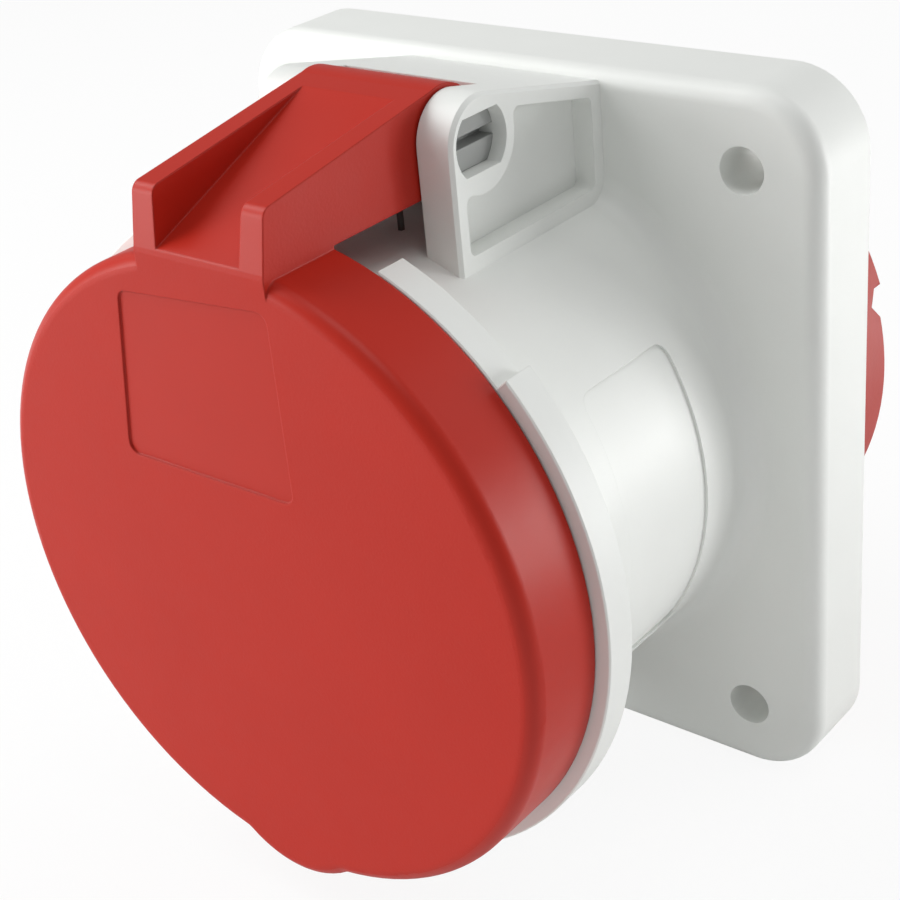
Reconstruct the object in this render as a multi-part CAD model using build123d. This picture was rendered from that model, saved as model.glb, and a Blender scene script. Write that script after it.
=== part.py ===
from build123d import *
from math import cos, pi, radians, sin, sqrt, tan
import os

# Five-pole industrial panel socket with a spring-closed lid.
# Origin: the barrel's axis in the plane of the flange's back. X right, Y into the panel, Z up.
# The barrel and its lid point along -Y, and the rear insulator reaches along +Y behind the panel.

# Small sizes that several pieces share
OVERRUN = 2.0            # how far a cutting body runs past the face that it opens
SEAT_GAP = 0.3           # play between pieces that lie close
FIT_GAP = 0.05           # radial play of a shaft in its hole
EDGE_ROUND = 0.5         # softened edges of the mouldings

# Flange
FLANGE_WIDTH = 100.0
FLANGE_HEIGHT = 107.0
FLANGE_THICKNESS = 13.4
FLANGE_CORNER = 11.0
FLANGE_FRONT_ROUND = 2.6
FLANGE_WALL = 5.2
FLANGE_FACE_WALL = 3.4
FIXING_EDGE_X = 11.5      # makes the fixing holes 77 mm apart across
FIXING_EDGE_Z = 11.0      # and 85 mm up
FIXING_HOLE_RADIUS = 3.3
FIXING_BOSS_WALL = 3.8
COLLAR_WALL = 2.7
SIDE_WEB_HEIGHT = 36.0
TOP_WEB_WIDTH = 20.0

# Gasket in a groove of the flange's back
GROOVE_INSET = 1.3
GROOVE_WIDTH = 2.6
GROOVE_DEPTH = 2.0

# Barrel, from the flange to the mouth
BARREL_LENGTH = 70.0
BARREL_BORE_RADIUS = 36.3
BARREL_WALL = 2.9
BARREL_ROOT_ROUND = 3.6
PLUG_DEPTH = 52.0
SIDE_PANEL_DEPTH = 0.4
SIDE_PANEL_FRONT = 44.0
SIDE_PANEL_BACK = 24.8
SIDE_PANEL_HEIGHT = 43.6
SIDE_PANEL_CORNER = 2.0

# Keyway in the barrel's bottom and the bulge that covers it
KEYWAY_WIDTH = 8.6
KEYWAY_DEPTH = 3.2
BULGE_RADIUS = 9.6

# Rim behind the lid's skirt
RIM_SETBACK = 8.2         # from the barrel's mouth
RIM_THICKNESS = 4.8
RIM_RADIUS = 48.0
RIM_FLUSH_RADIUS = 46.1
RIM_STEP_ANGLE = 47.4
RIM_BAY_WIDTH = 34.4
RIM_EDGE = 0.2

# Hinge ears and the bridge between them
HINGE_SETBACK = 30.5      # from the barrel's mouth
HINGE_HEIGHT = 51.8
EAR_INNER = 11.3
EAR_THICKNESS = 5.5
EAR_NOSE_RADIUS = 6.2
EAR_TOP_SLOPE = 13.0
EAR_ROOT_DROP = 1.0
EAR_POCKET_DEPTH = 3.2
EAR_POCKET_WALL = 2.2
EAR_POCKET_CORNER = 1.1
EAR_BOSS_RADIUS = 6.8
BRIDGE_THICKNESS = 2.4

# Hinge pin
PIN_HEAD_RADIUS = 5.1
PIN_HEAD_HALF_FLAT = 3.74
PIN_RECESS = 2.2
PIN_RADIUS = 3.0
PIN_TAIL_DEPTH = 4.0
PIN_SLOT = 1.5
PIN_SLOT_DEPTH = 2.2

# Hinge spring, between the arm's two knuckles
SPRING_WIRE_RADIUS = 0.5
SPRING_TURNS = 4.75
SPRING_PITCH = 2.2
SPRING_STEPS = 16        # straight runs in each turn
SPRING_SIDES = 6         # flats of the wire's section
SPRING_LEG = 12.0
SPRING_ROOM_RADIUS = 5.1
KNUCKLE_INNER = 6.5

# Lid
LID_RADIUS = 46.0
LID_STANDOFF = 2.1        # from the barrel's mouth to the lid's inside
LID_WALL = 2.4
LID_FRONT_ROUND = 2.2
LID_BUMP_RADIUS = 15.0
LID_BUMP_REACH = 48.3
LID_BUMP_BLEND = 2.0
LABEL_DEPTH = 0.3
LABEL_CORNERS = ((-19.3, 15.0), (10.5, 15.0), (10.5, 41.0), (-15.6, 39.0))
LABEL_CORNER = 1.6

# Lid arm, a channel between the lid and its hinge
ARM_HALF_WIDTH = 11.0
ARM_WALL = 3.6
ARM_DRAFT = 0.5
ARM_BARREL_RADIUS = 6.7
ARM_FRONT_RISE = 1.6
ARM_FRONT_LEAN = 1.6
ARM_FRONT_CORNER = 1.6
ARM_FLOOR_DROP = 5.9
ARM_FOOT_DROP = 3.0
ARM_LAND = 3.4
ARM_FLOOR_THICKNESS = 2.4

# Lid seal in a groove of the lid's back
SEAL_WIDTH = 4.6
SEAL_GROOVE_DEPTH = 0.6

# Contact carrier
CARRIER_RADIUS = 30.2
CARRIER_RECESS = 4.0
CARRIER_FRONT_WALL = 2.5
CARRIER_FRONT_CHAMFER = 0.9
CARRIER_LIP = 1.6
CARRIER_LIP_THICKNESS = 2.0
ENTRY_PLAY = 0.5
ROOM_SIDES = 8           # flats of the chamber round each contact

# Rear insulator
REAR_RADIUS = 42.6
REAR_WALL = 2.2
REAR_LENGTH = 21.0
REAR_STEP = 2.0
REAR_FLOOR = 8.0
REAR_PARTITION_THICKNESS = 1.8
REAR_POST_RADIUS = 5.0
REAR_PARTITION_RADIUS = 31.0
REAR_PARTITION_END = 30.0
REAR_NOTCH_HEIGHT = 10.8
REAR_NOTCH_WIDTH = 4.4
REAR_NOTCH_DEPTH = 1.9

# Screws that hold the carrier and the rear insulator
SCREW_CIRCLE_RADIUS = 34.8
SCREW_RADIUS = 1.5
SCREW_HEAD_RADIUS = 2.8
SCREW_HEAD_HEIGHT = 2.2
SCREW_REACH = 6.0
SCREW_ANGLES = (18.0, 162.0, 234.0)
SCREW_SLOT = 0.8
SCREW_SLOT_DEPTH = 1.1

# Contacts: the earth contact at the keyway, the others on the same circle
POLES = ("earth", "phase_1", "phase_2", "phase_3", "neutral")
POLE_CIRCLE_RADIUS = 19.5
POLE_STEP = 360 / len(POLES)
PHASE_PIN_RADIUS = 3.0
EARTH_PIN_RADIUS = 4.0
SLEEVE_WALL = 1.35
SLEEVE_DEPTH = 36.0
SLEEVE_SLIT = 0.8
SLEEVE_SLIT_LENGTH = 16.0
CLAMP_RING_THICKNESS = 0.6
CLAMP_RING_LENGTH = 4.0
CLAMP_RING_SETBACK = 1.5
COLLAR_OVERHANG = 2.6
COLLAR_THICKNESS = 1.5
TERMINAL_RADIUS = 5.5
TERMINAL_END = 33.0
WIRE_HOLE_RADIUS = 3.1
WIRE_HOLE_DEPTH = 13.5
TERMINAL_SCREW_RADIUS = 2.0
TERMINAL_SCREW_SETBACK = 3.5
TERMINAL_SCREW_STEP = 5.6
TERMINAL_SCREW_SLOT = 0.7

# Worked out from the sizes above
FLANGE_FRONT_Y = -FLANGE_THICKNESS
FLANGE_FLOOR_Y = FLANGE_FRONT_Y + FLANGE_FACE_WALL
BARREL_RADIUS = BARREL_BORE_RADIUS + BARREL_WALL
MOUTH_Y = -BARREL_LENGTH
PLUG_END_Y = MOUTH_Y + PLUG_DEPTH
KEY_DROP = LID_BUMP_REACH - LID_BUMP_RADIUS
COLLAR_BORE_RADIUS = REAR_RADIUS + SEAT_GAP
COLLAR_RADIUS = COLLAR_BORE_RADIUS + COLLAR_WALL
FIXING_PITCH_X = FLANGE_WIDTH - 2 * FIXING_EDGE_X
FIXING_PITCH_Z = FLANGE_HEIGHT - 2 * FIXING_EDGE_Z
BOSS_RADIUS = FIXING_HOLE_RADIUS + FIXING_BOSS_WALL
RIM_FRONT = BARREL_LENGTH - RIM_SETBACK
RIM_BACK = RIM_FRONT - RIM_THICKNESS
HINGE_FORWARD = BARREL_LENGTH - HINGE_SETBACK
HINGE_Y = -HINGE_FORWARD
EAR_OUTER = EAR_INNER + EAR_THICKNESS
LID_FRONT = BARREL_LENGTH + LID_STANDOFF + LID_WALL
LID_FRONT_Y = -LID_FRONT
LID_INNER_Y = LID_FRONT_Y + LID_WALL
SKIRT_BACK_Y = -RIM_FRONT - SEAT_GAP
ARM_BOTTOM = HINGE_HEIGHT - ARM_BARREL_RADIUS
ARM_TOP = HINGE_HEIGHT + ARM_BARREL_RADIUS
ARM_FRONT_TOP = HINGE_HEIGHT + ARM_FRONT_RISE
ARM_FLOOR_FRONT = HINGE_HEIGHT - ARM_FLOOR_DROP
ARM_BACK_Y = HINGE_Y + ARM_LAND - ARM_BARREL_RADIUS
SEAL_RADIUS = BARREL_BORE_RADIUS + BARREL_WALL / 2
SEAL_FRONT_Y = LID_INNER_Y - SEAL_GROOVE_DEPTH
SEAL_BACK_Y = MOUTH_Y - SEAT_GAP
CARRIER_FRONT_Y = MOUTH_Y + CARRIER_RECESS
LIP_RADIUS = CARRIER_RADIUS + CARRIER_LIP
LIP_FRONT_Y = FLANGE_FLOOR_Y - CARRIER_LIP_THICKNESS
FLOOR_BACK_Y = FLANGE_FLOOR_Y + REAR_FLOOR
SLEEVE_FRONT_Y = CARRIER_FRONT_Y + CARRIER_FRONT_WALL + SEAT_GAP
COLLAR_BACK_Y = FLANGE_FLOOR_Y + COLLAR_THICKNESS
RING_FRONT_Y = SLEEVE_FRONT_Y + CLAMP_RING_SETBACK
SPRING_RADIUS = PIN_RADIUS + SEAT_GAP + SPRING_WIRE_RADIUS
SPRING_DOWN_LEG = HINGE_HEIGHT - BARREL_RADIUS - SEAT_GAP
FOOT_HEIGHT = sqrt(BARREL_RADIUS ** 2 - EAR_OUTER ** 2)
WHOLE = 2 * FLANGE_HEIGHT


def drawn(points):
    return make_face(Polyline(*points, close=True))


def deep(sketch, front_y, back_y):
    """Extrudes a sketch, X right and Z up, between two depths."""
    return extrude(Plane.XZ.offset(-back_y) * sketch, back_y - front_y)


def wide(sketch, left_x, right_x):
    """Extrudes a sketch, Y right and Z up, between two sides."""
    return extrude(Plane.YZ.offset(left_x) * sketch, right_x - left_x)


def disc(radius, front_y, back_y):
    return deep(Circle(radius), front_y, back_y)


def ring(outer, inner, front_y, back_y):
    return deep(Circle(outer) - Circle(inner), front_y, back_y)


def turned(points):
    """Turns a profile of (radius, depth) points round the Y axis."""
    return revolve(drawn(points), Axis.Y)


def hinge_disc(radius, left_x, right_x):
    return wide(Pos(HINGE_Y, HINGE_HEIGHT) * Circle(radius), left_x, right_x)


def at_pole(shape, index):
    """Turns a shape built at the earth contact's place to the pole with this number."""
    return Rot(0, index * POLE_STEP, 0) * shape


def pin_radius(index):
    return PHASE_PIN_RADIUS if index else EARTH_PIN_RADIUS


def sleeve_radius(index):
    return pin_radius(index) + SLEEVE_WALL


def clamp_radius(index):
    return sleeve_radius(index) + FIT_GAP + CLAMP_RING_THICKNESS


def chamber_radius(index):
    return clamp_radius(index) + SEAT_GAP


def fixing_points():
    across, up = FIXING_PITCH_X / 2, FIXING_PITCH_Z / 2
    return [(x, z) for x in (-across, across) for z in (-up, up)]


def screw_points():
    return [(SCREW_CIRCLE_RADIUS * cos(radians(a)), SCREW_CIRCLE_RADIUS * sin(radians(a)))
            for a in SCREW_ANGLES]


# Housing

def inset_frame(inset):
    return RectangleRounded(FLANGE_WIDTH - 2 * inset, FLANGE_HEIGHT - 2 * inset, FLANGE_CORNER - inset)


def flange_plate():
    plate = deep(inset_frame(0), FLANGE_FRONT_Y, 0)
    return fillet(plate.faces().sort_by(Axis.Y)[0].edges(), FLANGE_FRONT_ROUND)


def corner_pockets():
    area = inset_frame(FLANGE_WALL) - Circle(COLLAR_RADIUS)
    area -= Rectangle(FLANGE_WIDTH, SIDE_WEB_HEIGHT)
    area -= Rectangle(TOP_WEB_WIDTH, FLANGE_HEIGHT)
    for x, z in fixing_points():
        area -= Pos(x, z) * Circle(BOSS_RADIUS)
    return deep(area, FLANGE_FLOOR_Y, OVERRUN)


def gasket_groove():
    groove = inset_frame(GROOVE_INSET) - inset_frame(GROOVE_INSET + GROOVE_WIDTH)
    return deep(groove, -GROOVE_DEPTH, OVERRUN)


def fixing_holes():
    hole = disc(FIXING_HOLE_RADIUS, FLANGE_FRONT_Y - OVERRUN, OVERRUN)
    return [Pos(x, 0, z) * hole for x, z in fixing_points()]


def root_round(radius):
    """The concave round where a cylinder meets the flange's front."""
    outer, front = radius + BARREL_ROOT_ROUND, FLANGE_FRONT_Y - BARREL_ROOT_ROUND
    middle = BARREL_ROOT_ROUND * (1 - cos(radians(45)))
    corner = Polyline((radius, front), (radius, FLANGE_FRONT_Y), (outer, FLANGE_FRONT_Y))
    curve = ThreePointArc((outer, FLANGE_FRONT_Y), (radius + middle, FLANGE_FRONT_Y - middle),
                          (radius, front))
    return revolve(make_face(corner + curve), Axis.Y)


def rooted_tube(radius):
    """A cylinder that grows out of the flange, with its front edge broken."""
    tube = disc(radius, MOUTH_Y, FLANGE_FLOOR_Y)
    return chamfer(tube.faces().sort_by(Axis.Y)[0].edges(), EDGE_ROUND) + root_round(radius)


def rim():
    """The rim, flush with the lid on the right of the hinge bay and proud of it elsewhere."""
    far = RIM_RADIUS + RIM_RADIUS
    step = radians(RIM_STEP_ANGLE)
    sector = drawn([(0, 0), (0, far), (far, far), (far * sin(step), far * cos(step))])
    outline = Circle(RIM_RADIUS) - (sector - Circle(RIM_FLUSH_RADIUS))
    outline -= Pos(0, far / 2) * Rectangle(RIM_BAY_WIDTH, far)
    body = deep(outline, -RIM_FRONT, -RIM_BACK)
    return chamfer(body.faces().sort_by(Axis.Y)[0].edges(), RIM_EDGE)


def ear_top_point(y):
    """A point of the ears' sloping top edge at this depth."""
    slope = radians(EAR_TOP_SLOPE)
    touch_y = HINGE_Y + EAR_NOSE_RADIUS * sin(slope)
    touch_z = HINGE_HEIGHT + EAR_NOSE_RADIUS * cos(slope)
    return y, touch_z - (y - touch_y) * tan(slope)


def ear_outline(foot):
    front = HINGE_Y - EAR_NOSE_RADIUS
    touch_y = HINGE_Y + EAR_NOSE_RADIUS * sin(radians(EAR_TOP_SLOPE))
    outline = drawn([(front, HINGE_HEIGHT), (front, foot), (FLANGE_FLOOR_Y, foot),
                     ear_top_point(FLANGE_FLOOR_Y), ear_top_point(touch_y), (HINGE_Y, HINGE_HEIGHT)])
    return outline + Pos(HINGE_Y, HINGE_HEIGHT) * Circle(EAR_NOSE_RADIUS)


def ear_pocket():
    window = ear_outline(FOOT_HEIGHT) & drawn(
        [(-BARREL_LENGTH, 0), (FLANGE_FRONT_Y, 0), (FLANGE_FRONT_Y, WHOLE), (-BARREL_LENGTH, WHOLE)])
    window = offset(window, -EAR_POCKET_WALL, kind=Kind.INTERSECTION)
    window -= Pos(HINGE_Y, HINGE_HEIGHT) * Circle(EAR_BOSS_RADIUS)
    window = window.faces().sort_by(SortBy.AREA)[-1]
    window = fillet(window.vertices(), EAR_POCKET_CORNER)
    return wide(window, EAR_OUTER - EAR_POCKET_DEPTH, EAR_OUTER + OVERRUN)


def ear():
    block = wide(ear_outline(FOOT_HEIGHT - EAR_ROOT_DROP), EAR_INNER, EAR_OUTER)
    outer = block.faces().sort_by(Axis.X)[-1]
    block = chamfer(outer.edges().filter_by(lambda e: e.center().Z > HINGE_HEIGHT), EDGE_ROUND)
    return block - ear_pocket()


def bridge():
    front = HINGE_Y + ARM_BARREL_RADIUS + SEAT_GAP
    front_y, front_z = ear_top_point(front)
    back_y, back_z = ear_top_point(FLANGE_FLOOR_Y)
    outline = drawn([(front_y, front_z), (back_y, back_z), (back_y, back_z - BRIDGE_THICKNESS),
                     (front_y, front_z - BRIDGE_THICKNESS)])
    return wide(outline, -EAR_INNER, EAR_INNER)


def double_d(radius, half_flat):
    return Circle(radius) & Rectangle(2 * radius, 2 * half_flat)


def head_hole():
    section = double_d(PIN_HEAD_RADIUS + FIT_GAP, PIN_HEAD_HALF_FLAT + FIT_GAP)
    return wide(Pos(HINGE_Y, HINGE_HEIGHT) * section, EAR_INNER - SEAT_GAP, EAR_OUTER + OVERRUN)


def tail_hole():
    return hinge_disc(PIN_RADIUS + FIT_GAP, -EAR_INNER - PIN_TAIL_DEPTH, -EAR_INNER + SEAT_GAP)


def side_panel():
    depth = SIDE_PANEL_FRONT - SIDE_PANEL_BACK
    window = Pos(-SIDE_PANEL_BACK - depth / 2, 0) * RectangleRounded(
        depth, SIDE_PANEL_HEIGHT, SIDE_PANEL_CORNER)
    shell = ring(BARREL_RADIUS + OVERRUN, BARREL_RADIUS - SIDE_PANEL_DEPTH,
                 -SIDE_PANEL_FRONT - OVERRUN, -SIDE_PANEL_BACK + OVERRUN)
    return shell & wide(window, 0, WHOLE)


def keyway():
    low = BARREL_BORE_RADIUS + KEYWAY_DEPTH
    slot = Pos(0, -low / 2) * Rectangle(KEYWAY_WIDTH, low)
    return deep(slot, MOUTH_Y - OVERRUN, PLUG_END_Y)


def screw_holes():
    hole = disc(SCREW_RADIUS + FIT_GAP, FLANGE_FLOOR_Y - SCREW_REACH - SEAT_GAP, FLANGE_FLOOR_Y + OVERRUN)
    return [Pos(x, 0, z) * hole for x, z in screw_points()]


def bored():
    """What the housing's bore takes away: the mouth, the shoulder, the lip's seat and the rear seat."""
    mouth = disc(BARREL_BORE_RADIUS, MOUTH_Y - OVERRUN, PLUG_END_Y)
    shoulder = disc(CARRIER_RADIUS + SEAT_GAP, MOUTH_Y, OVERRUN)
    lip_seat = disc(LIP_RADIUS + SEAT_GAP, LIP_FRONT_Y, OVERRUN)
    seat = disc(COLLAR_BORE_RADIUS, FLANGE_FLOOR_Y, OVERRUN)
    return [mouth, shoulder, lip_seat, seat, keyway(), *screw_holes()]


def barrel():
    return rooted_tube(BARREL_RADIUS) + Pos(0, 0, -KEY_DROP) * rooted_tube(BULGE_RADIUS)


def housing():
    flange = flange_plate() - corner_pockets() - gasket_groove()
    body = flange + (barrel() - side_panel()) + rim()
    one_ear = ear()
    body += one_ear + mirror(one_ear, Plane.YZ) + bridge()
    return body - bored() - fixing_holes() - head_hole() - tail_hole()


def hinge_pin():
    head = wide(double_d(PIN_HEAD_RADIUS, PIN_HEAD_HALF_FLAT), EAR_INNER + SEAT_GAP, EAR_OUTER - PIN_RECESS)
    slot = wide(Rectangle(2 * PIN_HEAD_RADIUS, PIN_SLOT), EAR_OUTER - PIN_RECESS - PIN_SLOT_DEPTH, WHOLE)
    tail = wide(Circle(PIN_RADIUS), -EAR_INNER - PIN_TAIL_DEPTH + SEAT_GAP, EAR_INNER + SEAT_GAP)
    tail = chamfer(tail.faces().sort_by(Axis.X)[0].edges(), EDGE_ROUND)
    return Pos(0, HINGE_Y, HINGE_HEIGHT) * (head + tail - slot)


def hinge_spring():
    """A torsion spring with one leg forward under the arm and one leg down to the barrel."""
    count = round(SPRING_TURNS * SPRING_STEPS)
    path = []
    for step in range(count + 1):
        turn = 2 * pi * step / SPRING_STEPS
        x = SPRING_PITCH * (step - count / 2) / SPRING_STEPS
        path.append(Vector(x, SPRING_RADIUS * sin(turn), -SPRING_RADIUS * cos(turn)))
    path.insert(0, path[0] - Vector(0, SPRING_LEG, 0))
    path.append(path[-1] - Vector(0, 0, SPRING_DOWN_LEG))
    line = Wire.make_polygon(path, close=False)
    section = Plane(origin=path[0], z_dir=(0, 1, 0)) * RegularPolygon(SPRING_WIRE_RADIUS, SPRING_SIDES)
    return Pos(0, HINGE_Y, HINGE_HEIGHT) * sweep(section, path=line, transition=Transition.RIGHT)


# Lid

def cap_block(inset, front_y, back_y):
    """The lid's round outline with its bump, as a block, with blends beside the bump."""
    bump = Pos(0, -KEY_DROP) * Circle(LID_BUMP_RADIUS - inset)
    block = deep(Circle(LID_RADIUS - inset) + bump, front_y, back_y)
    corners = block.edges().filter_by(Axis.Y).filter_by(lambda e: e.center().Z < -KEY_DROP)
    return fillet(corners, LID_BUMP_BLEND)


def cap_body():
    body = cap_block(0, LID_FRONT_Y, SKIRT_BACK_Y)
    return fillet(body.faces().sort_by(Axis.Y)[0].edges(), LID_FRONT_ROUND)


def ramp_height(y):
    """Height of the channel's floor at this depth."""
    rise = (ARM_TOP - ARM_FLOOR_FRONT) / (ARM_BACK_Y - LID_FRONT_Y)
    return ARM_FLOOR_FRONT + (y - LID_FRONT_Y) * rise


def arm_body():
    foot = ARM_BOTTOM - ARM_FOOT_DROP
    top_front = LID_FRONT_Y + ARM_FRONT_LEAN
    outline = drawn([(LID_FRONT_Y, foot), (LID_FRONT_Y, ARM_BOTTOM), (top_front, ARM_FRONT_TOP),
                     (HINGE_Y, ARM_TOP), (HINGE_Y, ARM_BOTTOM), (SKIRT_BACK_Y, ARM_BOTTOM),
                     (SKIRT_BACK_Y, foot)])
    corner = outline.vertices().filter_by(lambda v: v.Y > ARM_FRONT_TOP - EDGE_ROUND).sort_by(Axis.X)[0]
    outline = fillet(corner, ARM_FRONT_CORNER)
    outline += Pos(HINGE_Y, HINGE_HEIGHT) * Circle(ARM_BARREL_RADIUS)
    return wide(outline, -ARM_HALF_WIDTH, ARM_HALF_WIDTH)


def arm_channel():
    """The wedge above the ramp, with walls that lean outward a little."""
    front = LID_FRONT_Y - OVERRUN
    high = ARM_TOP + OVERRUN
    wedge = drawn([(front, ramp_height(front)), (ARM_BACK_Y, ARM_TOP), (ARM_BACK_Y, high), (front, high)])
    low_half = ARM_HALF_WIDTH - ARM_WALL - ARM_DRAFT
    high_half = ARM_HALF_WIDTH - ARM_WALL + ARM_DRAFT
    low = ramp_height(front) - OVERRUN
    walls = drawn([(-low_half, low), (low_half, low), (high_half, high), (-high_half, high)])
    return wide(wedge, -ARM_HALF_WIDTH, ARM_HALF_WIDTH) & deep(walls, front - OVERRUN, 0)


def arm_hollow():
    """The hollow under the ramp, behind the skirt."""
    front = SKIRT_BACK_Y + ARM_FLOOR_THICKNESS
    back = HINGE_Y - ARM_BARREL_RADIUS
    low = ARM_BOTTOM - OVERRUN
    wedge = drawn([(front, low), (front, ramp_height(front) - ARM_FLOOR_THICKNESS),
                   (back, ramp_height(back) - ARM_FLOOR_THICKNESS), (back, low)])
    half = ARM_HALF_WIDTH - ARM_WALL
    return wide(wedge, -half, half)


def spring_room():
    """Room for the hinge spring between the knuckles, open below so that its legs clear the lid."""
    front, back = HINGE_Y - ARM_BARREL_RADIUS - OVERRUN, HINGE_Y + ARM_BARREL_RADIUS + OVERRUN
    low = ARM_BOTTOM - OVERRUN
    room = drawn([(front, low), (back, low), (back, HINGE_HEIGHT), (front, HINGE_HEIGHT)])
    room += Pos(HINGE_Y, HINGE_HEIGHT) * Circle(SPRING_ROOM_RADIUS)
    return wide(room, -KNUCKLE_INNER, KNUCKLE_INNER)


def seal_groove():
    half = SEAL_WIDTH / 2 + SEAT_GAP
    return ring(SEAL_RADIUS + half, SEAL_RADIUS - half, SEAL_FRONT_Y, LID_INNER_Y + OVERRUN)


def label_recess():
    window = drawn(LABEL_CORNERS)
    window = fillet(window.vertices(), LABEL_CORNER)
    return deep(window, LID_FRONT_Y - OVERRUN, LID_FRONT_Y + LABEL_DEPTH)


def lid():
    body = cap_body() + arm_body()
    body -= cap_block(LID_WALL, LID_INNER_Y, SKIRT_BACK_Y)
    body -= arm_channel()
    body -= [arm_hollow(), spring_room(), label_recess(), seal_groove()]
    return body - hinge_disc(PIN_RADIUS + FIT_GAP, -ARM_HALF_WIDTH - OVERRUN, ARM_HALF_WIDTH + OVERRUN)


def lid_seal():
    return ring(SEAL_RADIUS + SEAL_WIDTH / 2, SEAL_RADIUS - SEAL_WIDTH / 2, SEAL_FRONT_Y, SEAL_BACK_Y)


def flange_gasket():
    band = inset_frame(GROOVE_INSET + SEAT_GAP) - inset_frame(GROOVE_INSET + GROOVE_WIDTH - SEAT_GAP)
    return deep(band, -GROOVE_DEPTH, 0)


# Contact carrier and rear insulator

def carrier_bore(index):
    """The contact's eight-sided chamber in the carrier, with a round entry for the plug's pin."""
    entry = disc(pin_radius(index) + ENTRY_PLAY, CARRIER_FRONT_Y - OVERRUN, SLEEVE_FRONT_Y)
    section = RegularPolygon(chamber_radius(index), ROOM_SIDES, major_radius=False)
    room = deep(section, SLEEVE_FRONT_Y - SEAT_GAP, FLANGE_FLOOR_Y + OVERRUN)
    return at_pole(Pos(0, 0, -POLE_CIRCLE_RADIUS) * (entry + room), index)


def contact_carrier():
    body = disc(CARRIER_RADIUS, CARRIER_FRONT_Y, FLANGE_FLOOR_Y)
    body = chamfer(body.faces().sort_by(Axis.Y)[0].edges(), CARRIER_FRONT_CHAMFER)
    body += disc(LIP_RADIUS, LIP_FRONT_Y, FLANGE_FLOOR_Y)
    return body - [carrier_bore(index) for index in range(len(POLES))]


def partition(index):
    """A wall between two terminals, opposite the contact with this number."""
    length = REAR_PARTITION_RADIUS
    wall = deep(Pos(0, length / 2) * Rectangle(REAR_PARTITION_THICKNESS, length),
                FLOOR_BACK_Y - EDGE_ROUND, REAR_PARTITION_END)
    return at_pole(wall, index)


def terminal_passage(index):
    seat = disc(sleeve_radius(index) + COLLAR_OVERHANG + SEAT_GAP, FLANGE_FLOOR_Y - OVERRUN, COLLAR_BACK_Y)
    hole = disc(TERMINAL_RADIUS + SEAT_GAP, FLANGE_FLOOR_Y, FLOOR_BACK_Y + OVERRUN)
    return at_pole(Pos(0, 0, -POLE_CIRCLE_RADIUS) * (seat + hole), index)


def rear_edge_cuts():
    """The lower step of the rear edge and a notch at its start on each side."""
    end = REAR_LENGTH + REAR_STEP + OVERRUN
    low = wide(drawn([(REAR_LENGTH, REAR_NOTCH_HEIGHT), (end, REAR_NOTCH_HEIGHT), (end, -WHOLE),
                      (REAR_LENGTH, -WHOLE)]), -WHOLE, WHOLE)
    low -= disc(REAR_PARTITION_RADIUS + SEAT_GAP, REAR_LENGTH - OVERRUN, end)
    upper = REAR_NOTCH_HEIGHT + REAR_NOTCH_WIDTH / 2
    lower = REAR_NOTCH_HEIGHT - REAR_NOTCH_WIDTH / 2
    notch = drawn([(REAR_LENGTH - REAR_NOTCH_DEPTH, REAR_NOTCH_HEIGHT), (REAR_LENGTH, upper), (end, upper),
                   (end, lower), (REAR_LENGTH, lower)])
    right = wide(notch, REAR_PARTITION_RADIUS + SEAT_GAP, WHOLE)
    return [low, right, mirror(right, Plane.YZ)]


def rear_insulator():
    end = REAR_LENGTH + REAR_STEP
    body = ring(REAR_RADIUS, REAR_RADIUS - REAR_WALL, FLANGE_FLOOR_Y, end)
    body += disc(REAR_RADIUS, FLANGE_FLOOR_Y, FLOOR_BACK_Y)
    body += disc(REAR_POST_RADIUS, FLANGE_FLOOR_Y, REAR_PARTITION_END)
    body += [partition(index) for index in range(len(POLES))]
    body -= [terminal_passage(index) for index in range(len(POLES))]
    hole = disc(SCREW_RADIUS + FIT_GAP, FLANGE_FLOOR_Y - OVERRUN, FLOOR_BACK_Y + OVERRUN)
    body -= [Pos(x, 0, z) * hole for x, z in screw_points()]
    return body - rear_edge_cuts()


def carrier_screws():
    head = disc(SCREW_HEAD_RADIUS, FLOOR_BACK_Y, FLOOR_BACK_Y + SCREW_HEAD_HEIGHT)
    head = chamfer(head.faces().sort_by(Axis.Y)[-1].edges(), EDGE_ROUND)
    slot = deep(Rectangle(2 * SCREW_HEAD_RADIUS, SCREW_SLOT),
                FLOOR_BACK_Y + SCREW_HEAD_HEIGHT - SCREW_SLOT_DEPTH, FLOOR_BACK_Y + SCREW_HEAD_HEIGHT)
    screw = head - slot + disc(SCREW_RADIUS, FLANGE_FLOOR_Y - SCREW_REACH, FLOOR_BACK_Y)
    return Compound([Pos(x, 0, z) * screw for x, z in screw_points()])


# Contacts

def screw_depths():
    last = TERMINAL_END - TERMINAL_SCREW_SETBACK
    return [last - TERMINAL_SCREW_STEP, last]


def terminal_thread(radius, inner, outer, y):
    """A cylinder across the terminal, outward from the socket's axis, between two distances."""
    place = Pos(0, y, -POLE_CIRCLE_RADIUS - outer)
    return place * extrude(Circle(radius), outer - inner)


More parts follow.
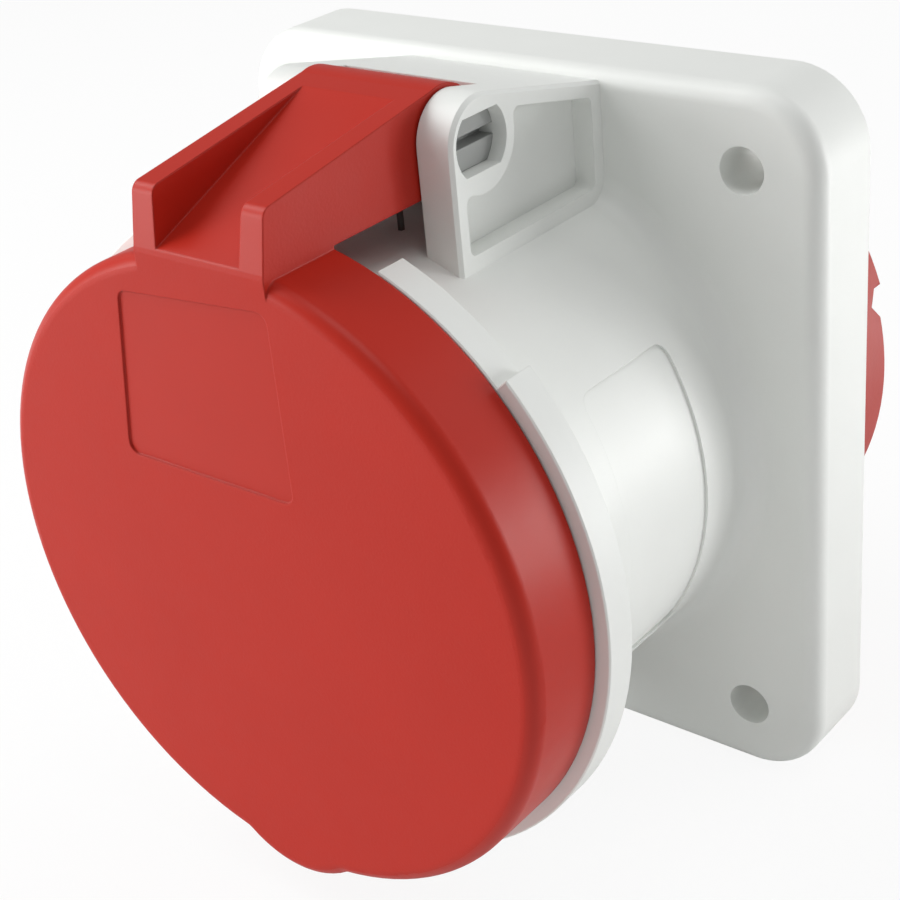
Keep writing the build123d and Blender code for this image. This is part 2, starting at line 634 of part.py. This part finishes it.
def contact(index):
    sleeve, pin = sleeve_radius(index), pin_radius(index)
    collar = sleeve + COLLAR_OVERHANG
    profile = [(pin, SLEEVE_FRONT_Y), (sleeve, SLEEVE_FRONT_Y), (sleeve, FLANGE_FLOOR_Y),
               (collar, FLANGE_FLOOR_Y), (collar, COLLAR_BACK_Y), (TERMINAL_RADIUS, COLLAR_BACK_Y),
               (TERMINAL_RADIUS, TERMINAL_END), (WIRE_HOLE_RADIUS, TERMINAL_END),
               (WIRE_HOLE_RADIUS, TERMINAL_END - WIRE_HOLE_DEPTH), (0, TERMINAL_END - WIRE_HOLE_DEPTH),
               (0, SLEEVE_FRONT_Y + SLEEVE_DEPTH), (pin, SLEEVE_FRONT_Y + SLEEVE_DEPTH)]
    cross = Rectangle(2 * sleeve + OVERRUN, SLEEVE_SLIT) + Rectangle(SLEEVE_SLIT, 2 * sleeve + OVERRUN)
    body = turned(profile) - deep(cross, SLEEVE_FRONT_Y - OVERRUN, SLEEVE_FRONT_Y + SLEEVE_SLIT_LENGTH)
    body = Pos(0, 0, -POLE_CIRCLE_RADIUS) * body
    for y in screw_depths():
        body -= terminal_thread(TERMINAL_SCREW_RADIUS + FIT_GAP, 0, TERMINAL_RADIUS + OVERRUN, y)
    return at_pole(body, index)


def clamp_ring(index):
    outer = clamp_radius(index)
    band = ring(outer, outer - CLAMP_RING_THICKNESS, RING_FRONT_Y, RING_FRONT_Y + CLAMP_RING_LENGTH)
    return at_pole(Pos(0, 0, -POLE_CIRCLE_RADIUS) * band, index)


def terminal_screw(y):
    inner, outer = WIRE_HOLE_RADIUS, TERMINAL_RADIUS + SEAT_GAP
    screw = terminal_thread(TERMINAL_SCREW_RADIUS, inner - SEAT_GAP, outer, y)
    slot = Box(2 * TERMINAL_SCREW_RADIUS, TERMINAL_SCREW_SLOT, 2 * TERMINAL_SCREW_SLOT)
    return screw - Pos(0, y, -POLE_CIRCLE_RADIUS - outer) * slot


def terminal_screws(index):
    return at_pole(Compound([terminal_screw(y) for y in screw_depths()]), index)


os.makedirs("parts", exist_ok=True)
pieces = {
    "housing": housing(),
    "lid": lid(),
    "hinge_pin": hinge_pin(),
    "hinge_spring": hinge_spring(),
    "lid_seal": lid_seal(),
    "flange_gasket": flange_gasket(),
    "contact_carrier": contact_carrier(),
    "rear_insulator": rear_insulator(),
    "carrier_screws": carrier_screws(),
}
for number, pole in enumerate(POLES):
    pieces[pole + "_contact"] = contact(number)
    pieces[pole + "_clamp_ring"] = clamp_ring(number)
    pieces[pole + "_terminal_screws"] = terminal_screws(number)
for name, shape in pieces.items():
    export_step(shape, "parts/" + name + ".step")
    box = shape.bounding_box()
    print(name, len(shape.solids()), round(shape.volume), box.min, box.max)
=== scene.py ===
"""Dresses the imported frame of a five-pole industrial panel socket with a sprung lid."""
import logging
from dataclasses import dataclass
from enum import Enum
from math import cos, pi, radians, sin

import bpy
from mathutils import Matrix, Vector


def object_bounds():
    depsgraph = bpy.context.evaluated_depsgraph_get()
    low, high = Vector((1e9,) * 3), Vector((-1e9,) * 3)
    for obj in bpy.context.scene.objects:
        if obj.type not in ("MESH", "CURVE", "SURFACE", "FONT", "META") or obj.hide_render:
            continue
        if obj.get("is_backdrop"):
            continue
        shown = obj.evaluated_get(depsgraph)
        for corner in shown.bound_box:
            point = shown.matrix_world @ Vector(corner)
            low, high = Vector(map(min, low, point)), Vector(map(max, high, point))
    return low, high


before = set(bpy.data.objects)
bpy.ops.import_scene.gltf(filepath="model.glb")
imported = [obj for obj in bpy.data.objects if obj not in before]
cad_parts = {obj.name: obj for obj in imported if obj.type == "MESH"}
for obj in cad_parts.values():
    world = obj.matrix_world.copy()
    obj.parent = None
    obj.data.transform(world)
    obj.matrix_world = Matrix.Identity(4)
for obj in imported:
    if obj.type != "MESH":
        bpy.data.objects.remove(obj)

MM = 0.001
WHITE = (1.0, 1.0, 1.0, 1.0)
log = logging.getLogger("panel_socket")


class Grain(Enum):
    """How fine the texture of a surface is, as bumps per metre."""

    FINE = 4200.0
    MOULDED = 2600.0
    COARSE = 1700.0


class Axis(Enum):
    """An output of the node that separates a place into its coordinates."""

    X = "X"
    Y = "Y"
    Z = "Z"


class NodeTree:
    """A material's shader nodes, with short ways to add, link and calculate."""

    def __init__(self, material: bpy.types.Material) -> None:
        """Clears the material's nodes and adds the output and the object's own coordinates.

        Args:
            material: the material whose nodes are built.
        """
        material.use_nodes = True
        self.tree = material.node_tree
        self.tree.nodes.clear()
        self.output = self.add("ShaderNodeOutputMaterial")
        self.place = self.add("ShaderNodeTexCoord").outputs["Object"]
        split = self.add("ShaderNodeSeparateXYZ")
        self.link(self.place, split.inputs["Vector"])
        self.split = split

    def add(self, kind: str, **values: object) -> bpy.types.ShaderNode:
        """Adds a node and sets its properties and input sockets.

        Args:
            kind: Blender's name for the node's type.
            values: properties of the node, or input sockets by name with blanks as underscores.

        Returns:
            The new node.
        """
        node = self.tree.nodes.new(kind)
        for name, value in values.items():
            if hasattr(node, name):
                setattr(node, name, value)
            else:
                node.inputs[name.replace("_", " ")].default_value = value
        return node

    def link(self, source: bpy.types.NodeSocket, target: bpy.types.NodeSocket) -> None:
        """Links an output socket to an input socket."""
        self.tree.links.new(source, target)

    def coordinate(self, axis: Axis) -> bpy.types.NodeSocket:
        """Gives one coordinate of the shaded place, in metres."""
        return self.split.outputs[axis.value]

    def math(self, operation: str, *values: bpy.types.NodeSocket | float) -> bpy.types.NodeSocket:
        """Calculates with sockets and numbers.

        Args:
            operation: the name of the sum, such as MULTIPLY.
            values: its operands, each a socket or a number.

        Returns:
            The socket with the result.
        """
        node = self.add("ShaderNodeMath", operation=operation)
        for index, value in enumerate(values):
            if isinstance(value, bpy.types.NodeSocket):
                self.link(value, node.inputs[index])
            else:
                node.inputs[index].default_value = value
        return node.outputs["Value"]

    def noise(self, scale: float, detail: float) -> bpy.types.NodeSocket:
        """Adds a noise in the object's own coordinates.

        Args:
            scale: bumps per metre.
            detail: how many finer layers the noise has.

        Returns:
            The noise's value socket.
        """
        node = self.add("ShaderNodeTexNoise", Scale=scale, Detail=detail)
        self.link(self.place, node.inputs["Vector"])
        return node.outputs["Fac"]


@dataclass(frozen=True)
class Finish:
    """A plain finish, with a grain in its surface, a drift in its tone and softened edges.

    The bumps are counted per metre, and the layers say how many finer ones a noise has.
    """

    name: str
    colour: tuple[float, float, float]
    roughness: float
    metallic: float = 0.0
    specular: float = 0.5
    grain: Grain = Grain.MOULDED
    grain_depth: float = 0.010 * MM
    grain_layers: float = 2.0
    grain_strength: float = 0.5
    roughness_spread: float = 0.05
    roughness_bumps: float = 240.0
    roughness_layers: float = 4.0
    tone_spread: float = 0.02
    tone_bumps: float = 60.0
    tone_layers: float = 3.0
    tone_limits: tuple[float, float] = (0.3, 0.7)
    edge_radius: float = 0.45 * MM
    edge_samples: int = 8

    def material(self) -> bpy.types.Material:
        """Builds the finish as a material.

        Returns:
            The new material.
        """
        made = bpy.data.materials.new(self.name)
        nodes = NodeTree(made)
        shader = nodes.add("ShaderNodeBsdfPrincipled", Metallic=self.metallic)
        shader.inputs["Specular IOR Level"].default_value = self.specular
        nodes.link(self.tone(nodes), shader.inputs["Base Color"])
        nodes.link(self.gloss(nodes), shader.inputs["Roughness"])
        nodes.link(self.relief(nodes), shader.inputs["Normal"])
        nodes.link(shader.outputs["BSDF"], nodes.output.inputs["Surface"])
        made.diffuse_color = (*self.colour, 1.0)
        return made

    def tone(self, nodes: NodeTree) -> bpy.types.NodeSocket:
        """Lets the colour drift a little over the surface.

        Args:
            nodes: the material's nodes.

        Returns:
            The colour's socket.
        """
        ramp = nodes.add("ShaderNodeValToRGB")
        low, high = ramp.color_ramp.elements
        low.position, high.position = self.tone_limits
        low.color = (*(c * (1.0 - self.tone_spread) for c in self.colour), 1.0)
        high.color = (*(min(1.0, c * (1.0 + self.tone_spread)) for c in self.colour), 1.0)
        nodes.link(nodes.noise(self.tone_bumps, self.tone_layers), ramp.inputs["Fac"])
        return ramp.outputs["Color"]

    def gloss(self, nodes: NodeTree) -> bpy.types.NodeSocket:
        """Varies the roughness a little over the surface.

        Args:
            nodes: the material's nodes.

        Returns:
            The roughness's socket.
        """
        spread = nodes.add("ShaderNodeMapRange")
        spread.inputs["To Min"].default_value = self.roughness - self.roughness_spread
        spread.inputs["To Max"].default_value = self.roughness + self.roughness_spread
        nodes.link(nodes.noise(self.roughness_bumps, self.roughness_layers), spread.inputs["Value"])
        return spread.outputs["Result"]

    def relief(self, nodes: NodeTree) -> bpy.types.NodeSocket:
        """Adds the grain over softened edges.

        Args:
            nodes: the material's nodes.

        Returns:
            The normal's socket.
        """
        edge = nodes.add("ShaderNodeBevel", samples=self.edge_samples, Radius=self.edge_radius)
        bump = nodes.add("ShaderNodeBump", Strength=self.grain_strength, Distance=self.grain_depth)
        nodes.link(self.height(nodes), bump.inputs["Height"])
        nodes.link(edge.outputs["Normal"], bump.inputs["Normal"])
        return bump.outputs["Normal"]

    def height(self, nodes: NodeTree) -> bpy.types.NodeSocket:
        """Gives the grain's height."""
        return nodes.noise(self.grain.value, self.grain_layers)


@dataclass(frozen=True)
class LidFinish(Finish):
    """The lid's finish: a sparked texture on its face and the arm's sides, polished elsewhere."""

    face_depth: float = 74.5 * MM
    arm_half_width: float = 11.0 * MM
    arm_foot: float = 44.8 * MM
    zone_margin: float = 0.12 * MM
    texture_height: float = 5.0
    texture_roughness: float = 0.16

    def zone(self, nodes: NodeTree) -> bpy.types.NodeSocket:
        """Marks the textured surfaces with one and the polished ones with nought.

        Args:
            nodes: the material's nodes.

        Returns:
            The mark's socket.
        """
        face = nodes.math("LESS_THAN", nodes.coordinate(Axis.Y), self.zone_margin - self.face_depth)
        side = nodes.math("ABSOLUTE", nodes.coordinate(Axis.X))
        side = nodes.math("COMPARE", side, self.arm_half_width, self.zone_margin)
        high = nodes.math("GREATER_THAN", nodes.coordinate(Axis.Z), self.arm_foot)
        return nodes.math("MAXIMUM", face, nodes.math("MULTIPLY", side, high))

    def gloss(self, nodes: NodeTree) -> bpy.types.NodeSocket:
        """Makes the textured surfaces rougher."""
        extra = nodes.math("MULTIPLY", self.zone(nodes), self.texture_roughness)
        return nodes.math("ADD", super().gloss(nodes), extra)

    def height(self, nodes: NodeTree) -> bpy.types.NodeSocket:
        """Makes the grain higher on the textured surfaces."""
        gain = nodes.math("ADD", nodes.math("MULTIPLY", self.zone(nodes), self.texture_height), 1.0)
        return nodes.math("MULTIPLY", super().height(nodes), gain)


LIGHT_GREY = Finish("light_grey_moulding", (0.855, 0.872, 0.845), 0.42, tone_spread=0.010,
                    edge_radius=0.15 * MM)
LID_RED = LidFinish("red_lid_moulding", (0.485, 0.0225, 0.0110), 0.36, specular=0.24,
                    edge_radius=0.35 * MM)
INSULATOR_RED = Finish("red_insulator_moulding", (0.42, 0.030, 0.020), 0.52, grain=Grain.COARSE,
                       grain_depth=0.05 * MM)
PIN_GREY = Finish("grey_pin_moulding", (0.40, 0.41, 0.40), 0.34, edge_radius=0.3 * MM)
BRASS = Finish("bright_brass", (0.80, 0.58, 0.27), 0.28, metallic=1.0, grain=Grain.FINE,
               grain_depth=0.004 * MM, edge_radius=0.15 * MM)
STEEL = Finish("zinc_plated_steel", (0.62, 0.62, 0.63), 0.32, metallic=1.0, grain=Grain.FINE,
               grain_depth=0.004 * MM, edge_radius=0.12 * MM)
SPRING_STEEL = Finish("dark_spring_steel", (0.13, 0.125, 0.12), 0.38, metallic=1.0, grain=Grain.FINE,
                      grain_depth=0.004 * MM, edge_radius=0.12 * MM)
SEAL_RUBBER = Finish("black_seal_rubber", (0.022, 0.022, 0.024), 0.7, grain=Grain.COARSE,
                     grain_depth=0.02 * MM, edge_radius=0.3 * MM)


def dress(node: str, material: bpy.types.Material) -> bpy.types.Object:
    """Gives a CAD node its finish.

    Args:
        node: the node's name.
        material: the finish.

    Returns:
        The node's object.
    """
    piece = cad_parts[node]
    for holder in piece.material_slots:
        holder.material = material
    return piece


@dataclass
class Housing:
    """The light grey housing with its flange, barrel, rim and hinge ears, and its gasket."""

    plastic: str = "housing_plastic"
    rubber: str = "seal_rubber"

    def build(self) -> list[bpy.types.Object]:
        """Dresses the housing and its gasket.

        Returns:
            The dressed pieces.
        """
        return [dress("housing", LIGHT_GREY.material()),
                dress("flange_gasket", SEAL_RUBBER.material())]


@dataclass
class Lid:
    """The red lid with its arm, and the seal inside it."""

    plastic: str = "lid_plastic"
    rubber: str = "seal_rubber"

    def build(self) -> list[bpy.types.Object]:
        """Dresses the lid and its seal.

        Returns:
            The dressed pieces.
        """
        return [dress("lid", LID_RED.material()),
                dress("lid_seal", SEAL_RUBBER.material())]


@dataclass
class HingeHardware:
    """The hinge's pin and its closing spring."""

    plastic: str = "pin_plastic"
    metal: str = "steel"

    def build(self) -> list[bpy.types.Object]:
        """Dresses the pin and the spring.

        Returns:
            The dressed pieces.
        """
        return [dress("hinge_pin", PIN_GREY.material()),
                dress("hinge_spring", SPRING_STEEL.material())]


@dataclass
class Insulators:
    """The red contact carrier in the barrel, the red insulator behind the flange and their screws."""

    plastic: str = "insulator_plastic"
    metal: str = "steel"

    def build(self) -> list[bpy.types.Object]:
        """Dresses the carrier, the rear insulator and their screws.

        Returns:
            The dressed pieces.
        """
        red = INSULATOR_RED.material()
        return [dress("contact_carrier", red),
                dress("rear_insulator", red),
                dress("carrier_screws", STEEL.material())]


@dataclass
class Contacts:
    """The five contacts with their clamping rings and terminal screws."""

    poles: tuple[str, ...] = ("earth", "phase_1", "phase_2", "phase_3", "neutral")

    def build(self) -> list[bpy.types.Object]:
        """Dresses every contact and what sits on it.

        Returns:
            The dressed pieces.
        """
        brass, steel = BRASS.material(), STEEL.material()
        pieces = []
        for pole in self.poles:
            pieces.append(dress(pole + "_contact", brass))
            pieces.append(dress(pole + "_clamp_ring", steel))
            pieces.append(dress(pole + "_terminal_screws", steel))
        return pieces


@dataclass(frozen=True)
class SoftLamp:
    """A square lamp that looks at the socket; its level is the light on a surface that faces it."""

    name: str
    place: tuple[float, float, float]
    level: float
    size: float = 0.55
    aim: tuple[float, float, float] = (0.0, -0.03, 0.0)

    def build(self) -> bpy.types.Object:
        """Adds the lamp to the scene.

        Returns:
            The lamp's object.
        """
        light = bpy.data.lights.new(self.name, "AREA")
        light.size = self.size
        light.energy = self.level * pi * pi * Vector(self.place).length_squared
        lamp = bpy.data.objects.new(self.name, light)
        bpy.context.scene.collection.objects.link(lamp)
        lamp.location = self.place
        lamp.visible_camera = False
        aim = Vector(self.aim) - Vector(self.place)
        lamp.rotation_euler = aim.to_track_quat("-Z", "Y").to_euler()
        return lamp


@dataclass
class Studio:
    """The floor, the backdrop, the lamps and the camera."""

    floor_drop: float = 0.1 * MM
    floor_size: float = 6.0
    floor_tone: float = 0.9
    white_share: float = 0.9
    white_level: float = 1.0
    sky_level: float = 0.32
    camera_place: tuple[float, float, float] = (153.6 * MM, -208.4 * MM, 123.7 * MM)
    azimuth: float = 41.07
    elevation: float = 27.85
    roll: float = -5.785
    lens: float = 72.31
    sensor: float = 36.0
    nearest: float = 10 * MM
    lamps: tuple[SoftLamp, ...] = (
        SoftLamp("side_lamp", (0.80, 0.56, 0.06), 0.35, size=0.42),
        SoftLamp("low_lamp", (0.20, 0.15, -0.015), 0.20, size=0.07),
        SoftLamp("top_lamp", (0.15, 0.0, 1.0), 0.19),
        SoftLamp("back_lamp", (0.40, 0.80, 0.50), 0.10),
        SoftLamp("front_lamp", (-0.60, -0.62, 0.15), 0.56, size=0.5),
        SoftLamp("left_lamp", (-0.40, -0.20, 0.50), 0.44, size=0.36),
    )

    def build(self) -> None:
        """Builds the whole studio."""
        self.floor()
        self.sky()
        for lamp in self.lamps:
            log.info("Studio: %s at %s", lamp.build().name, lamp.place)
        self.camera()

    def floor(self) -> None:
        """Makes the pale floor, which shows white with the socket's faint shadow."""
        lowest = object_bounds()[0][2] - self.floor_drop
        half = self.floor_size / 2
        mesh = bpy.data.meshes.new("floor")
        corners = [(-half, -half), (half, -half), (half, half), (-half, half)]
        mesh.from_pydata([(x, y, lowest) for x, y in corners], [], [(0, 1, 2, 3)])
        floor = bpy.data.objects.new("floor", mesh)
        bpy.context.scene.collection.objects.link(floor)
        mesh.materials.append(self.floor_paint())
        floor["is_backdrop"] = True

    def floor_paint(self) -> bpy.types.Material:
        """Mixes a pale matt paint with plain white for what the camera sees.

        Returns:
            The floor's material.
        """
        paint = bpy.data.materials.new("pale_floor")
        nodes = NodeTree(paint)
        matt = nodes.add("ShaderNodeBsdfDiffuse", Color=(self.floor_tone,) * 3 + (1.0,))
        white = nodes.add("ShaderNodeEmission", Color=WHITE)
        rays = nodes.add("ShaderNodeLightPath")
        mix = nodes.add("ShaderNodeMixShader")
        nodes.link(nodes.math("MULTIPLY", rays.outputs["Is Camera Ray"], self.white_share), mix.inputs["Fac"])
        nodes.link(matt.outputs["BSDF"], mix.inputs[1])
        nodes.link(white.outputs["Emission"], mix.inputs[2])
        nodes.link(mix.outputs["Shader"], nodes.output.inputs["Surface"])
        return paint

    def sky(self) -> None:
        """Makes the sky white to the camera and dimmer to the surfaces."""
        world = bpy.data.worlds.new("studio_sky")
        bpy.context.scene.world = world
        world.use_nodes = True
        tree = world.node_tree
        tree.nodes.clear()
        output = tree.nodes.new("ShaderNodeOutputWorld")
        mix = tree.nodes.new("ShaderNodeMixShader")
        rays = tree.nodes.new("ShaderNodeLightPath")
        tree.links.new(rays.outputs["Is Camera Ray"], mix.inputs["Fac"])
        for index, level in enumerate((self.sky_level, self.white_level), start=1):
            shade = tree.nodes.new("ShaderNodeBackground")
            shade.inputs["Color"].default_value = WHITE
            shade.inputs["Strength"].default_value = level
            tree.links.new(shade.outputs["Background"], mix.inputs[index])
        tree.links.new(mix.outputs["Shader"], output.inputs["Surface"])

    def camera(self) -> None:
        """Sets the camera where the photograph was taken from."""
        data = bpy.data.cameras.new("camera")
        data.sensor_width = self.sensor
        data.sensor_fit = "HORIZONTAL"
        data.lens = self.lens
        data.clip_start = self.nearest
        camera = bpy.data.objects.new("camera", data)
        bpy.context.scene.collection.objects.link(camera)
        around, above = radians(self.azimuth), radians(self.elevation)
        forward = Vector((-sin(around) * cos(above), cos(around) * cos(above), -sin(above)))
        turn = forward.to_track_quat("-Z", "Y").to_matrix().to_4x4()
        turn = turn @ Matrix.Rotation(radians(self.roll), 4, "Z")
        camera.matrix_world = Matrix.Translation(Vector(self.camera_place)) @ turn
        bpy.context.scene.camera = camera


def main() -> None:
    """Builds the dressed socket and its studio, and keeps the sizes."""
    logging.basicConfig(level=logging.INFO, format="%(name)s: %(message)s")
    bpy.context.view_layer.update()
    for part in (Housing(), Lid(), HingeHardware(), Insulators(), Contacts()):
        for piece in part.build():
            log.info("%s: %s with %d faces", type(part).__name__, piece.name, len(piece.data.polygons))
    Studio().build()
    bpy.context.scene.view_settings.view_transform = "Standard"


if __name__ == "__main__":
    main()
